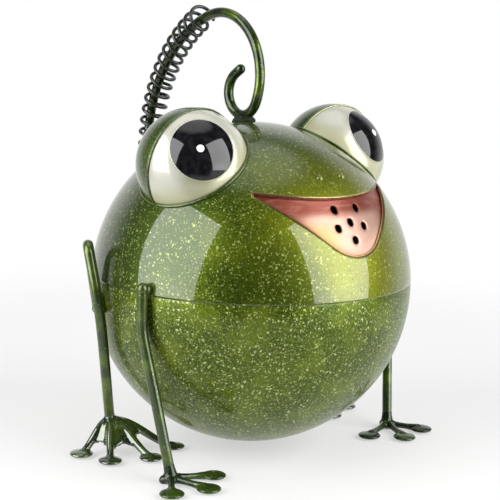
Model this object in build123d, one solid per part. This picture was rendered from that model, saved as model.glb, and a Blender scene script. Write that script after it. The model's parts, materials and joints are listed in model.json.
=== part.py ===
from build123d import *
import math
import os

# A watering can in the shape of a ball-bodied frog, in millimetres.
# The frog looks along -Y, its left side is +X, and it stands on z = 0.
# Every shape is drawn about the ball's centre, then moved to stand on the ground.

# --- body ---------------------------------------------------------------
BALL_R = 95.0              # outside of the upper half
WALL = 0.8                 # steel sheet
BALL_HEIGHT = 97.5         # ball's centre above the ground
SEAM_Z = 5.6               # where the two halves meet, above the ball's centre
SEAM_STEP = 0.35           # the lower half is this much smaller at the seam
SPIGOT_GAP = 0.05          # between the lower half's lip and the upper half
SPIGOT_TOP, SPIGOT_FOOT = 12.0, 3.0

# --- mouth, which is the sprinkling rose ----------------------------------
MOUTH_CORNER = (48.6, 62.8)     # (x, z) of the corner of the mouth
MOUTH_LIP_SAG = 3.0             # dip of the upper edge
MOUTH_CHIN_Z = 28.0             # lowest point of the mouth
MOUTH_CHIN_R = 27.0             # round of the chin
ROSE_LAP = 3.0                  # the plate reaches this far behind the lip
ROSE_HOLE_R = 2.1
ROSE_HOLES = [(1.6, 46.0), (1.6, 36.8), (-6.7, 52.8), (9.9, 52.8), (-8.3, 43.4), (11.5, 43.4)]

# --- filler opening, on the back of the head -------------------------------
FILLER_TILT = 45.0         # degrees behind the top of the ball
FILLER_R = 24.0            # clear radius
FILLER_WALL = 1.0
FILLER_DEPTH = 6.0         # length of the collar
FILLER_TOP = 93.6          # rim's height along the opening's axis
FILLER_BEAD_R = 1.4

# --- eyes -------------------------------------------------------------------
EYE_CENTRE = (53.8, -10.0, 73.4)
EYE_R = 31.9               # back shell
EYE_FRONT_R = 31.5         # front shell
EYE_LIP_R, EYE_LIP_W = 32.4, 1.4
EYE_SEAM_TURN, EYE_SEAM_TILT = -3.0, -10.0      # where the seam plane faces
PUPIL_R = 17.3
PUPIL_RIM = 25.6           # rim's distance from the eye's centre
PUPIL_RISE = 5.9           # dome above the rim
PUPIL_THICK = 1.2
PUPIL_GAP = 0.2
PUPIL_AIM = {"right": (27.0, 24.0), "left": (21.0, 32.0)}   # outward turn and rise, degrees
NOSTRIL_TURN, NOSTRIL_LIFT, NOSTRIL_R = 7.3, 46.7, 2.8

# --- handle -----------------------------------------------------------------
ROD_R = 3.0
ROD_GAP = 0.15             # between a welded rod and the ball
ARCH_CENTRE = (34.0, 121.0)     # (y, z) of the front arch
ARCH_R = 36.7
CURL_R = 13.0
CURL_END = 57.0            # degrees round the curl where the straight tip starts
TIP_LENGTH = 9.5
ARCH_END = 71.0            # degrees where the arch passes into the grip's arc
GRIP_R = 89.7
TAIL_BEND_R = 14.0
TAIL_LENGTH = 8.0

# --- spring grip ------------------------------------------------------------
WIRE_R = 1.0
COIL_R = 7.2               # middle of the wire
COIL_OFFSET = 2.9          # the coil's lower part lies this much inside the rod's arc
COIL_START, COIL_BEND, COIL_END = -21.5, 14.0, 68.0     # degrees round the grip's arc
COIL_UPPER_R = 99.5        # the coil straightens a little above the bend

# --- legs and feet, left side ------------------------------------------------
FRONT_LEG = [(95.75, -22.0, 13.0), (95.75, -22.0, -14.0), (85.3, -36.4, -93.5)]
FRONT_LEG_BEND = [60.0]
REAR_LEG = [(95.6, 20.8, -9.0), (95.3, 31.5, 26.3), (101.8, 22.0, 27.3),
            (101.0, 10.5, -8.0), (78.5, 32.4, -80.5)]
REAR_LEG_BENDS = [5.6, 5.6, 60.0]
WELD_R = 4.3
ANKLE_R = 4.0
PAD_R, PAD_H = 7.2, 3.4
FRONT_TOES = [(97.8, -53.9), (77.0, -59.3), (61.4, -44.4)]
FRONT_HUB_R, FRONT_HUB_H = 5.5, 4.0
FRONT_HEEL = (90.5, -33.5)
TOE_ROOT_W, TOE_TIP_W = 8.0, 4.4
REAR_TOES = [(100.3, 29.3), (93.8, 9.4), (71.9, 0.2), (48.9, 9.4)]
REAR_TOE_R = (3.6, 2.2)     # at the ankle and at the pad
WEB_REACH = (0.72, 0.50, 0.50, 0.62)    # how far along each toe the web goes
WEB_THICK = 1.6

SIDES = {"right": -1, "left": 1}
GROUND = -BALL_HEIGHT
GRIP_CENTRE = tuple(
    a - (GRIP_R - ARCH_R) * f(math.radians(ARCH_END))
    for a, f in zip(ARCH_CENTRE, (math.cos, math.sin))
)
COIL_ARC_R = GRIP_R - COIL_OFFSET
REAR_REACH = GRIP_CENTRE[0] + COIL_ARC_R + COIL_R + WIRE_R
BALL_CENTRE = Vector(0, (BALL_R - REAR_REACH) / 2, BALL_HEIGHT)
BALL = Sphere(BALL_R)


def direction(turn, lift):
    """Unit vector turned from the front towards +X, and lifted."""
    turn, lift = math.radians(turn), math.radians(lift)
    return Vector(math.sin(turn) * math.cos(lift), -math.cos(turn) * math.cos(lift), math.sin(lift))


def mirrored(points, side):
    return [(side * p[0], *p[1:]) for p in points]


def shell(outer, wall):
    return Sphere(outer) - Sphere(outer - wall)


def slab(low, high, size=2.5 * BALL_R):
    """Everything between two heights."""
    return Pos(0, 0, (low + high) / 2) * Box(size, size, high - low)


def route(points, bends):
    """Straight runs joined by tangent arcs, one bend radius for each inner point."""
    edges, start = [], Vector(points[0])
    for before, corner, after, radius in zip(points, points[1:], points[2:], bends):
        corner = Vector(corner)
        back = (Vector(before) - corner).normalized()
        ahead = (Vector(after) - corner).normalized()
        half = math.acos(back.dot(ahead)) / 2
        reach = radius / math.tan(half)
        inward = (back + ahead).normalized()
        middle = corner + inward * (radius / math.sin(half) - radius)
        edges.append(Line(start, corner + back * reach))
        edges.append(ThreePointArc(corner + back * reach, middle, corner + ahead * reach))
        start = corner + ahead * reach
    edges.append(Line(start, points[-1]))
    return Wire([piece.edge() for piece in edges])


def rod(path, radius=ROD_R):
    start = Plane(origin=path @ 0, z_dir=path % 0)
    return sweep(start * Circle(radius), path=path)


def mouth_outline(grow=0.0):
    """Front view of the mouth: a shallow upper edge, straight flanks and a round chin."""
    x, z = MOUTH_CORNER
    centre = (0, MOUTH_CHIN_Z + MOUTH_CHIN_R)
    reach = math.dist((x, z), centre)
    lean = math.atan2(z - centre[1], x) - math.acos(MOUTH_CHIN_R / reach)
    flank = (MOUTH_CHIN_R * math.cos(lean), centre[1] + MOUTH_CHIN_R * math.sin(lean))
    with BuildSketch(Plane.XZ) as sketch:
        with BuildLine():
            ThreePointArc((-x, z), (0, z - MOUTH_LIP_SAG), (x, z))
            Line((x, z), flank)
            ThreePointArc(flank, (0, MOUTH_CHIN_Z), (-flank[0], flank[1]))
            Line((-flank[0], flank[1]), (-x, z))
        make_face()
        if grow:
            offset(amount=grow, kind=Kind.ARC)
    return extrude(sketch.sketch, amount=BALL_R + 10)


def filler_plane():
    tilt = math.radians(FILLER_TILT)
    return Plane(origin=(0, 0, 0), x_dir=(1, 0, 0), z_dir=(0, math.sin(tilt), math.cos(tilt)))


def upper_shell():
    """Upper half, with the mouth and the filler opening cut through it."""
    body = shell(BALL_R, WALL) & slab(SEAM_Z, BALL_R + 1)
    bore = filler_plane() * Cylinder(FILLER_R + FILLER_WALL, 2 * BALL_R,
                                     align=(Align.CENTER, Align.CENTER, Align.MIN))
    return body - mouth_outline() - bore


def lower_bowl():
    """Lower half, whose lip goes up inside the upper half."""
    bowl = shell(BALL_R - SEAM_STEP, WALL) & slab(-BALL_R - 1, SEAM_Z)
    lip = shell(BALL_R - WALL - SPIGOT_GAP, WALL) & slab(SPIGOT_FOOT, SPIGOT_TOP)
    return bowl + lip


def mouth_rose():
    """Drilled plate behind the mouth opening."""
    plate = shell(BALL_R - WALL - SPIGOT_GAP, WALL) & mouth_outline(ROSE_LAP)
    for x, z in ROSE_HOLES:
        y = -math.sqrt(BALL_R ** 2 - x ** 2 - z ** 2)
        aim = Vector(x, y, z).normalized()
        plate -= Plane(origin=aim * (BALL_R - 2 * WALL), z_dir=aim) * Cylinder(ROSE_HOLE_R, 8)
    return plate


def filler_rim():
    """Collar soldered into the filler opening, with a rolled bead on top."""
    collar = Cylinder(FILLER_R + FILLER_WALL, FILLER_DEPTH, align=(Align.CENTER, Align.CENTER, Align.MAX))
    bead = Torus(FILLER_R + FILLER_BEAD_R, FILLER_BEAD_R)
    bore = Cylinder(FILLER_R, 4 * FILLER_DEPTH)
    return filler_plane() * Pos(0, 0, FILLER_TOP) * (collar + bead - bore)


def eye_frame(side):
    centre = Vector(side * EYE_CENTRE[0], *EYE_CENTRE[1:])
    return Plane(origin=centre, z_dir=direction(side * EYE_SEAM_TURN, EYE_SEAM_TILT))


def pupil_frame(name):
    side = SIDES[name]
    turn, lift = PUPIL_AIM[name]
    centre = Vector(side * EYE_CENTRE[0], *EYE_CENTRE[1:])
    return Plane(origin=centre, z_dir=direction(side * turn, lift))


def eye_back(name):
    """Rear half of an eye, with the lip that covers the joint."""
    half = shell(EYE_R, WALL) & slab(-EYE_R - 1, 0)
    lip = Pos(0, 0, -EYE_LIP_W / 2) * Cylinder(EYE_LIP_R, EYE_LIP_W)
    lip -= Cylinder(EYE_R - WALL / 2, 4 * EYE_LIP_W)
    return eye_frame(SIDES[name]) * (half + lip) - BALL


def eye_front(name):
    """Front half of an eye, with a round seat for the pupil."""
    half = eye_frame(SIDES[name]) * (shell(EYE_FRONT_R, WALL) & slab(0, EYE_R + 1))
    seat = pupil_frame(name) * Cylinder(PUPIL_R + PUPIL_GAP, 2 * EYE_R,
                                        align=(Align.CENTER, Align.CENTER, Align.MIN))
    return half - seat - BALL


def pupil(name):
    """Domed disc with a short skirt."""
    dome_r = (PUPIL_R ** 2 + PUPIL_RISE ** 2) / (2 * PUPIL_RISE)
    dome = Pos(0, 0, PUPIL_RIM + PUPIL_RISE - dome_r) * shell(dome_r, PUPIL_THICK)
    dome &= slab(PUPIL_RIM, EYE_R + 5, 2 * PUPIL_R + 10)
    skirt = Pos(0, 0, PUPIL_RIM) * Cylinder(PUPIL_R, 2.5, align=(Align.CENTER, Align.CENTER, Align.MAX))
    skirt -= Cylinder(PUPIL_R - PUPIL_THICK, 3 * EYE_R)
    disc = Pos(0, 0, PUPIL_RIM - PUPIL_THICK) * Cylinder(
        PUPIL_R - PUPIL_THICK / 2, PUPIL_THICK, align=(Align.CENTER, Align.CENTER, Align.MIN))
    return pupil_frame(name) * (dome + skirt + disc)


def nostril(side):
    place = direction(side * NOSTRIL_TURN, NOSTRIL_LIFT) * (BALL_R - 0.6)
    return Pos(*place) * Sphere(NOSTRIL_R) - BALL


def polar(centre, radius, degrees):
    """Point of the handle's plane, x = 0."""
    angle = math.radians(degrees)
    return Vector(0, centre[0] + radius * math.cos(angle), centre[1] + radius * math.sin(angle))


def arc(centre, radius, start, end):
    return ThreePointArc(polar(centre, radius, start), polar(centre, radius, (start + end) / 2),
                         polar(centre, radius, end))


def handle_path():
    """Curl on the head, front arch, grip arc, and a tail that lies on the ball's back."""
    rest_r = BALL_R + ROD_R + ROD_GAP
    # the curl touches the head and passes smoothly into the arch
    drop = ARCH_CENTRE[1] - rest_r - CURL_R
    join = 180 + math.degrees(math.asin(drop / (ARCH_R - CURL_R)))
    curl = tuple(polar(ARCH_CENTRE, ARCH_R - CURL_R, join))[1:]
    # the tail's bend touches the grip arc outside and the ball's surface outside
    far = math.hypot(*GRIP_CENTRE)
    reach, ball_reach = GRIP_R + TAIL_BEND_R, rest_r + TAIL_BEND_R
    swing = math.acos((ball_reach ** 2 - far ** 2 - reach ** 2) / (2 * far * reach))
    tail_turn = math.degrees(math.atan2(GRIP_CENTRE[1], GRIP_CENTRE[0]) - swing)
    bend = tuple(polar(GRIP_CENTRE, reach, tail_turn))[1:]
    ball_turn = math.degrees(math.atan2(bend[1], bend[0]))

    tip_end = polar(curl, CURL_R, CURL_END)
    slope = math.radians(CURL_END)
    tip = tip_end + Vector(0, -math.sin(slope), math.cos(slope)) * TIP_LENGTH
    tail = polar((0, 0), rest_r, ball_turn)
    slope = math.radians(ball_turn)
    end = tail + Vector(0, math.sin(slope), -math.cos(slope)) * TAIL_LENGTH
    pieces = [
        Line(tip, tip_end),
        arc(curl, CURL_R, CURL_END, join - 360),
        arc(ARCH_CENTRE, ARCH_R, join, ARCH_END),
        arc(GRIP_CENTRE, GRIP_R, ARCH_END, tail_turn),
        arc(bend, TAIL_BEND_R, tail_turn + 180, ball_turn + 180),
        Line(tail, end),
    ]
    return Wire([piece.edge() for piece in pieces])


def handle_rod():
    path = handle_path()
    weld_front = Pos(0, ARCH_CENTRE[0] - ARCH_R + CURL_R + 3, BALL_R - 1.5) * Sphere(WELD_R + 1)
    weld_rear = Pos(*((path @ 1) - Vector(0, 2.5, -3))) * Sphere(WELD_R)
    return rod(path) + weld_front + weld_rear - BALL


def grip_spring():
    """Sleeve of the spring's inside and outside diameters: a lower arc and a flatter upper one."""
    section = Circle(COIL_R + WIRE_R) - Circle(COIL_R - WIRE_R)
    upper_centre = polar(GRIP_CENTRE, COIL_ARC_R - COIL_UPPER_R, COIL_BEND)
    sleeve = []
    for centre, radius, start, end in [
        (polar(GRIP_CENTRE, 0, 0), COIL_ARC_R, COIL_START, COIL_BEND),
        (upper_centre, COIL_UPPER_R, COIL_BEND, coil_upper_end()),
    ]:
        radial = polar((0, 0), 1, start)
        ring = Plane(origin=centre + radial * radius, x_dir=radial, z_dir=radial.cross(Vector(-1, 0, 0)))
        sleeve.append(revolve(ring * section, Axis(centre, (1, 0, 0)), end - start))
    return sleeve[0] + sleeve[1]


def coil_upper_end():
    """Angle about the upper arc's centre at which the coil ends, COIL_END round the grip's arc."""
    shift = COIL_UPPER_R - COIL_ARC_R
    swing = math.radians(COIL_END - COIL_BEND)
    return COIL_END - math.degrees(math.asin(shift * math.sin(swing) / COIL_UPPER_R))


def toe_bar(root, tip):
    """Flat tapered toe on the ground, from the hub to its pad."""
    run = (Vector(*tip) - Vector(*root))
    across = Vector(-run.Y, run.X).normalized()
    root, tip = Vector(*root), Vector(*tip)
    corners = [root + across * (TOE_ROOT_W / 2), tip + across * (TOE_TIP_W / 2),
               tip - across * (TOE_TIP_W / 2), root - across * (TOE_ROOT_W / 2)]
    outline = Polyline(*[(c.X, c.Y, GROUND) for c in corners], close=True)
    return extrude(make_face(outline), amount=PAD_H, dir=(0, 0, 1))


def pad(tip):
    disc = Pos(tip[0], tip[1], GROUND) * Cylinder(PAD_R, PAD_H, align=(Align.CENTER, Align.CENTER, Align.MIN))
    return fillet(disc.edges().group_by(Axis.Z)[-1], PAD_H * 0.6)


def front_foot(side):
    """Hub with three toes and a heel spur, each toe ending in a round pad."""
    ankle = mirrored([FRONT_LEG[-1]], side)[0]
    hub = Pos(ankle[0], ankle[1], GROUND) * Cylinder(
        FRONT_HUB_R, FRONT_HUB_H, align=(Align.CENTER, Align.CENTER, Align.MIN))
    foot = hub
    for tip in mirrored(FRONT_TOES, side):
        foot += toe_bar(ankle[:2], tip)
        foot += pad(tip)
    foot += toe_bar(ankle[:2], mirrored([FRONT_HEEL], side)[0])
    return foot


def front_leg(side):
    """Rod welded to the seam at the top and to the foot's hub below."""
    points = mirrored(FRONT_LEG, side)
    leg = rod(route(points, FRONT_LEG_BEND))
    top = Vector(points[0])
    leg += Pos(*(top * 0.985)) * Sphere(WELD_R)
    leg += Pos(*points[-1]) * Sphere(ANKLE_R)
    floor = slab(GROUND - 10, GROUND + FRONT_HUB_H)
    return leg - BALL - floor


def rear_foot(side):
    """Tented foot: four toes slope down from the ankle, with webs between them."""
    ankle = Vector(mirrored([REAR_LEG[-1]], side)[0])
    foot = Pos(*ankle) * Sphere(REAR_TOE_R[0])
    tips = [Vector(x, y, GROUND + PAD_H * 0.65) for x, y in mirrored(REAR_TOES, side)]
    for tip in tips:
        run = tip - ankle
        plane = Plane(origin=ankle, z_dir=run)
        end = Plane(origin=tip, z_dir=run)
        foot += loft([plane * Circle(REAR_TOE_R[0]), end * Circle(REAR_TOE_R[1])])
    for tip in mirrored(REAR_TOES, side):
        foot += pad(tip)
    reached = [ankle + (tip - ankle) * share for tip, share in zip(tips, WEB_REACH)]
    for one, other in zip(reached, reached[1:]):
        web = make_face(Polyline(ankle, one, other, close=True))
        foot += extrude(web, amount=WEB_THICK / 2, both=True)
    return foot & slab(GROUND, GROUND + BALL_HEIGHT)


def rear_leg(side):
    """Hairpin rod: welded to the ball beside the seam, up to the knee, down to the ankle."""
    points = mirrored(REAR_LEG, side)
    leg = rod(route(points, REAR_LEG_BENDS))
    leg += Pos(*(Vector(points[0]) * 0.985)) * Sphere(WELD_R)
    leg += Pos(*points[-1]) * Sphere(ANKLE_R)
    return leg - BALL - rear_foot(side)


def write(name, shape):
    solids = shape.solids()
    piece = solids[0] if len(solids) == 1 else Compound(children=solids)
    export_step(piece.moved(Location(BALL_CENTRE)), f"parts/{name}.step")


def main():
    os.makedirs("parts", exist_ok=True)
    write("upper_shell", upper_shell())
    write("lower_bowl", lower_bowl())
    write("mouth_rose", mouth_rose())
    write("filler_rim", filler_rim())
    write("handle_rod", handle_rod())
    write("grip_spring", grip_spring())
    for name, side in SIDES.items():
        write(f"eye_back_{name}", eye_back(name))
        write(f"eye_front_{name}", eye_front(name))
        write(f"pupil_{name}", pupil(name))
        write(f"nostril_{name}", nostril(side))
        write(f"front_leg_{name}", front_leg(side))
        write(f"front_foot_{name}", front_foot(side))
        write(f"rear_leg_{name}", rear_leg(side))
        write(f"rear_foot_{name}", rear_foot(side))


main()
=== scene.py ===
import json
import math

import bmesh
import bpy
import numpy as np
from mathutils import Matrix, Vector


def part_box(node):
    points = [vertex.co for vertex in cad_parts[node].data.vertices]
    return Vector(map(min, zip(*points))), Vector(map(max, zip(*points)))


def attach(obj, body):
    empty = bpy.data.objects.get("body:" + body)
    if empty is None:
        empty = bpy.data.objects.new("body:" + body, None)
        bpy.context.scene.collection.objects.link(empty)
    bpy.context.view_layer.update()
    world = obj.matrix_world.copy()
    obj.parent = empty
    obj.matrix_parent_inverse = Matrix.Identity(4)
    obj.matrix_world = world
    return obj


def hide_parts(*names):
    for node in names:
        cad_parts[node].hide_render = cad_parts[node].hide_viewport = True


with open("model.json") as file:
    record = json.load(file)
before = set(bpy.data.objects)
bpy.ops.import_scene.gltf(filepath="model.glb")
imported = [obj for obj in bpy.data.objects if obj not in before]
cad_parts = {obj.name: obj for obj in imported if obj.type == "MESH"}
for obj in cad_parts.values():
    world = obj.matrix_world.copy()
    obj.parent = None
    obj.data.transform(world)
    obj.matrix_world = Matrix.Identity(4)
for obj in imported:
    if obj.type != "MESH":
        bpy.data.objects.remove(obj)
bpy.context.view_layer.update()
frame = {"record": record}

# A frog-shaped watering can of painted sheet metal. Metres; the frog looks along -Y.
MM = 0.001
SIDES = {"right": -1, "left": 1}

# --- sizes, as in the CAD model ---
BALL_R = 95 * MM
WALL = 0.8 * MM
SEAM_STEP = 0.35 * MM
BOWL_LOW, BOWL_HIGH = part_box("lower_bowl")
GROUND = 0.0
CENTRE = Vector((0, (BOWL_LOW.y + BOWL_HIGH.y) / 2, BOWL_LOW.z + BALL_R - SEAM_STEP))
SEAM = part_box("upper_shell")[0].z - CENTRE.z
JOINT = frame["record"]["behaviour"]["joints"][0]
GRIP_CENTRE = Vector(JOINT["pos_m"]) - CENTRE
GRIP_R = 89.7 * MM
ROD_R = 3 * MM


def direction(turn, lift):
    """Unit vector turned from the front towards +X, and lifted, in degrees."""
    turn, lift = math.radians(turn), math.radians(lift)
    return Vector((math.sin(turn) * math.cos(lift), -math.cos(turn) * math.cos(lift), math.sin(lift)))


def polar(centre, radius, degrees):
    """Point of the handle's plane, x = 0, from a (y, z) centre."""
    angle = math.radians(degrees)
    return Vector((0, centre[0] + radius * math.cos(angle), centre[1] + radius * math.sin(angle)))


# --- mesh helpers ---
def add(name, data):
    obj = bpy.data.objects.new(name, data)
    bpy.context.scene.collection.objects.link(obj)
    return obj


def piece(name, verts, faces, material, body="can"):
    """Mesh object from points about the ball's centre, riding on a body."""
    mesh = bpy.data.meshes.new(name)
    mesh.from_pydata([tuple(Vector(v) + CENTRE) for v in verts], [], faces)
    mesh.validate()
    return dress(add(name, mesh), material, body)


def dress(obj, material, body="can"):
    obj.data.materials.clear()
    obj.data.materials.append(material)
    for polygon in obj.data.polygons:
        polygon.use_smooth = True
    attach(obj, body)
    return obj


def reshape(obj, change):
    """Runs a change on the piece's mesh, opened for editing."""
    mesh = bmesh.new()
    mesh.from_mesh(obj.data)
    change(mesh)
    mesh.to_mesh(obj.data)
    mesh.free()
    return obj


def fix_normals(obj):
    return reshape(obj, lambda mesh: bmesh.ops.recalc_face_normals(mesh, faces=mesh.faces))


def modifier(obj, kind, **settings):
    added = obj.modifiers.new(kind.lower(), kind)
    for key, value in settings.items():
        setattr(added, key, value)


def apply_all(obj):
    """Replaces the mesh by its evaluated one, so nothing is left live."""
    graph = bpy.context.evaluated_depsgraph_get()
    graph.update()
    mesh = bpy.data.meshes.new_from_object(obj.evaluated_get(graph))
    obj.modifiers.clear()
    obj.data = mesh
    return obj


def revolve(name, profile, axis_frame, material, steps=128, closed=False):
    """Turns a profile of (radius, height) about a frame's z axis; radius 0 makes a pole."""
    verts, faces, rows = [], [], []
    for radius, height in profile:
        if radius < 1e-9:
            rows.append([len(verts)] * steps)
            verts.append(axis_frame @ Vector((0, 0, height)))
        else:
            rows.append(list(range(len(verts), len(verts) + steps)))
            for i in range(steps):
                turn = 2 * math.pi * i / steps
                arm = Vector((radius * math.cos(turn), radius * math.sin(turn), height))
                verts.append(axis_frame @ arm)
    pairs = list(zip(rows, rows[1:])) + ([(rows[-1], rows[0])] if closed else [])
    for one, other in pairs:
        for i in range(steps):
            j = (i + 1) % steps
            corners = []
            for index in (one[i], one[j], other[j], other[i]):
                if index not in corners:
                    corners.append(index)
            if len(corners) > 2:
                faces.append(corners)
    return fix_normals(piece(name, verts, faces, material))


def bead(radius, height, half_width, half_height, count):
    """Closed oval profile for revolve."""
    return [(radius + half_width * math.cos(a), height + half_height * math.sin(a))
            for a in np.linspace(0, 2 * math.pi, count, endpoint=False)]


def axis_frame(origin, z_axis):
    """4x4 frame at a point with its z axis along a direction."""
    return Matrix.Translation(origin) @ Vector(z_axis).to_track_quat("Z", "Y").to_matrix().to_4x4()


def tube(points, radii, ring):
    """Vertices and faces of a round tube along points, with rounded ends."""
    points = [Vector(p) for p in points]
    count = len(points)
    if not hasattr(radii, "__len__"):
        radii = [radii] * count
    tangents = []
    for i in range(count):
        tangents.append((points[min(i + 1, count - 1)] - points[max(i - 1, 0)]).normalized())
    normal = tangents[0].orthogonal().normalized()
    verts, faces = [], []

    def add_ring(centre, tangent, radius):
        nonlocal normal
        normal = (normal - tangent * normal.dot(tangent)).normalized()
        side = tangent.cross(normal)
        start = len(verts)
        for k in range(ring):
            turn = 2 * math.pi * k / ring
            verts.append(centre + (normal * math.cos(turn) + side * math.sin(turn)) * radius)
        if start:
            for k in range(ring):
                n = (k + 1) % ring
                faces.append([start - ring + k, start - ring + n, start + n, start + k])

    caps = [math.radians(a) for a in (80, 60, 40, 20)]
    for angle in caps:
        add_ring(points[0] - tangents[0] * radii[0] * math.sin(angle), tangents[0],
                 radii[0] * math.cos(angle))
    for p, t, r in zip(points, tangents, radii):
        add_ring(p, t, r)
    for angle in reversed(caps):
        add_ring(points[-1] + tangents[-1] * radii[-1] * math.sin(angle), tangents[-1],
                 radii[-1] * math.cos(angle))
    faces.append(list(range(ring))[::-1])
    faces.append(list(range(len(verts) - ring, len(verts))))
    return verts, faces


def route(points, bends, step=1.5 * MM):
    """Points along straight runs joined by tangent arcs."""
    points = [Vector(p) for p in points]
    out = [points[0]]

    def run_to(target):
        start = out[-1].copy()
        parts = max(1, int((target - start).length / step))
        for i in range(1, parts + 1):
            out.append(start.lerp(target, i / parts))

    for before, corner, after, radius in zip(points, points[1:], points[2:], bends):
        back, ahead = (before - corner).normalized(), (after - corner).normalized()
        half = back.angle(ahead) / 2
        reach = radius / math.tan(half)
        middle = corner + (back + ahead).normalized() * (radius / math.sin(half))
        run_to(corner + back * reach)
        arm = corner + back * reach - middle
        turn = math.pi - 2 * half
        axis = arm.cross(corner + ahead * reach - middle).normalized()
        parts = max(8, int(turn * radius / step))
        for i in range(1, parts + 1):
            out.append(middle + Matrix.Rotation(turn * i / parts, 3, axis) @ arm)
    run_to(points[-1])
    return out


def arc_points(centre, radius, start, end, step=1.2 * MM):
    parts = max(4, int(abs(math.radians(end - start)) * radius / step))
    return [polar(centre, radius, start + (end - start) * i / parts) for i in range(parts + 1)]


def blend_solid(name, parts, material, voxel, rounds):
    """Joins overlapping closed meshes into one smooth skin, as weld and cast metal looks."""
    verts, faces = [], []
    for part_verts, part_faces in parts:
        base = len(verts)
        verts += part_verts
        faces += [[base + i for i in face] for face in part_faces]
    obj = piece(name, verts, faces, material)
    modifier(obj, "REMESH", mode="VOXEL", voxel_size=voxel, use_smooth_shade=True)
    modifier(obj, "SMOOTH", factor=0.5, iterations=rounds)
    apply_all(obj)
    return dress(obj, material)


def ball_part(centre, radius, scale=(1, 1, 1), toward=None):
    """A rounded lump: a sphere, or an ellipsoid turned so that its z points toward a direction."""
    mesh = bmesh.new()
    bmesh.ops.create_icosphere(mesh, subdivisions=3, radius=1)
    turn = Vector(toward).to_track_quat("Z", "Y").to_matrix() if toward is not None else Matrix.Identity(3)
    verts = [Vector(centre) + turn @ Vector([c * radius * s for c, s in zip(v.co, scale)])
             for v in mesh.verts]
    faces = [[v.index for v in f.verts] for f in mesh.faces]
    mesh.free()
    return verts, faces


# --- materials ---
def new_material(name):
    """Material, its node tree, and position in the can's own frame about the ball's centre."""
    material = bpy.data.materials.new(name)
    material.use_nodes = True
    tree = material.node_tree
    coords = tree.nodes.new("ShaderNodeTexCoord").outputs["Object"]
    return material, tree, vector(tree, "SUBTRACT", coords, CENTRE)


def node(tree, kind, **settings):
    made = tree.nodes.new(kind)
    for key, value in settings.items():
        setattr(made, key, value)
    return made


def vector(tree, operation, a, b=None, out="Vector"):
    """Vector maths on a socket and a socket or three numbers."""
    made = node(tree, "ShaderNodeVectorMath", operation=operation)
    tree.links.new(a, made.inputs[0])
    if isinstance(b, bpy.types.NodeSocket):
        tree.links.new(b, made.inputs[1])
    elif b is not None:
        made.inputs[1].default_value = b
    return made.outputs[out]


def split_xyz(tree, coords):
    made = tree.nodes.new("ShaderNodeSeparateXYZ")
    tree.links.new(coords, made.inputs[0])
    return made.outputs


def noise(tree, coords, scale, detail):
    made = tree.nodes.new("ShaderNodeTexNoise")
    made.inputs["Scale"].default_value, made.inputs["Detail"].default_value = scale, detail
    tree.links.new(coords, made.inputs["Vector"])
    return made.outputs["Fac"]


def maths(tree, operation, a, b=None, clamp=False):
    made = tree.nodes.new("ShaderNodeMath")
    made.operation = operation
    made.use_clamp = clamp
    for index, value in enumerate((a, b)):
        if value is None:
            continue
        if isinstance(value, (int, float)):
            made.inputs[index].default_value = value
        else:
            tree.links.new(value, made.inputs[index])
    return made.outputs[0]


def mix(tree, share, one, other):
    made = tree.nodes.new("ShaderNodeMix")
    made.data_type = "RGBA"
    for index, value in ((0, share), (6, one), (7, other)):
        if isinstance(value, (int, float)):
            made.inputs[index].default_value = value
        elif isinstance(value, tuple):
            made.inputs[index].default_value = (*value, 1)
        else:
            tree.links.new(value, made.inputs[index])
    return made.outputs[2]


def tint(tree, mask, strength, colour, other):
    """Lays another colour over one, as strongly as a mask says."""
    return mix(tree, maths(tree, "MULTIPLY", mask, strength), colour, other)


def invert(tree, value):
    return maths(tree, "SUBTRACT", 1.0, value)


def vary(tree, level, pattern, amount):
    return maths(tree, "ADD", level, maths(tree, "MULTIPLY", pattern, amount))


def surface(material, colour, rough, height, strength, depth, metallic=0.0, **levels):
    """Wires colour, roughness and bump into the shader, and sets its plain levels."""
    tree = material.node_tree
    shader = tree.nodes["Principled BSDF"]
    bump = tree.nodes.new("ShaderNodeBump")
    bump.inputs["Strength"].default_value, bump.inputs["Distance"].default_value = strength, depth
    tree.links.new(height, bump.inputs["Height"])
    for source, socket in ((colour, "Base Color"), (rough, "Roughness"), (bump.outputs["Normal"], "Normal")):
        tree.links.new(source, shader.inputs[socket])
    shader.inputs["Metallic"].default_value = metallic
    for name, value in levels.items():
        shader.inputs[name.replace("_", " ").title().replace("Ior", "IOR")].default_value = value
    return material


def ramp(tree, value, low, high):
    """0 below low, 1 above high, smooth between."""
    made = tree.nodes.new("ShaderNodeMapRange")
    made.interpolation_type = "SMOOTHERSTEP"
    made.inputs[1].default_value, made.inputs[2].default_value = low, high
    tree.links.new(value, made.inputs[0])
    return made.outputs[0]


def within(tree, spot, centre, low, high):
    """1 near a point, 0 beyond a distance from it."""
    return invert(tree, ramp(tree, vector(tree, "DISTANCE", spot, centre, "Value"), low, high))


def speckles(tree, coords, spacing, low, high, seed=0.0):
    """Mask of small round flecks of different sizes, one or none in each cell."""
    cells = node(tree, "ShaderNodeTexVoronoi", feature="F1")
    cells.inputs["Scale"].default_value = 1 / spacing
    tree.links.new(vector(tree, "ADD", coords, (seed, seed * 2.3, -seed)), cells.inputs["Vector"])
    split = tree.nodes.new("ShaderNodeSeparateColor")
    tree.links.new(cells.outputs["Color"], split.inputs[0])
    size = maths(tree, "MULTIPLY", maths(tree, "SUBTRACT", split.outputs[0], low), high, clamp=True)
    gap = maths(tree, "SUBTRACT", size, cells.outputs["Distance"])
    return maths(tree, "MULTIPLY", gap, 9.0, clamp=True)


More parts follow.
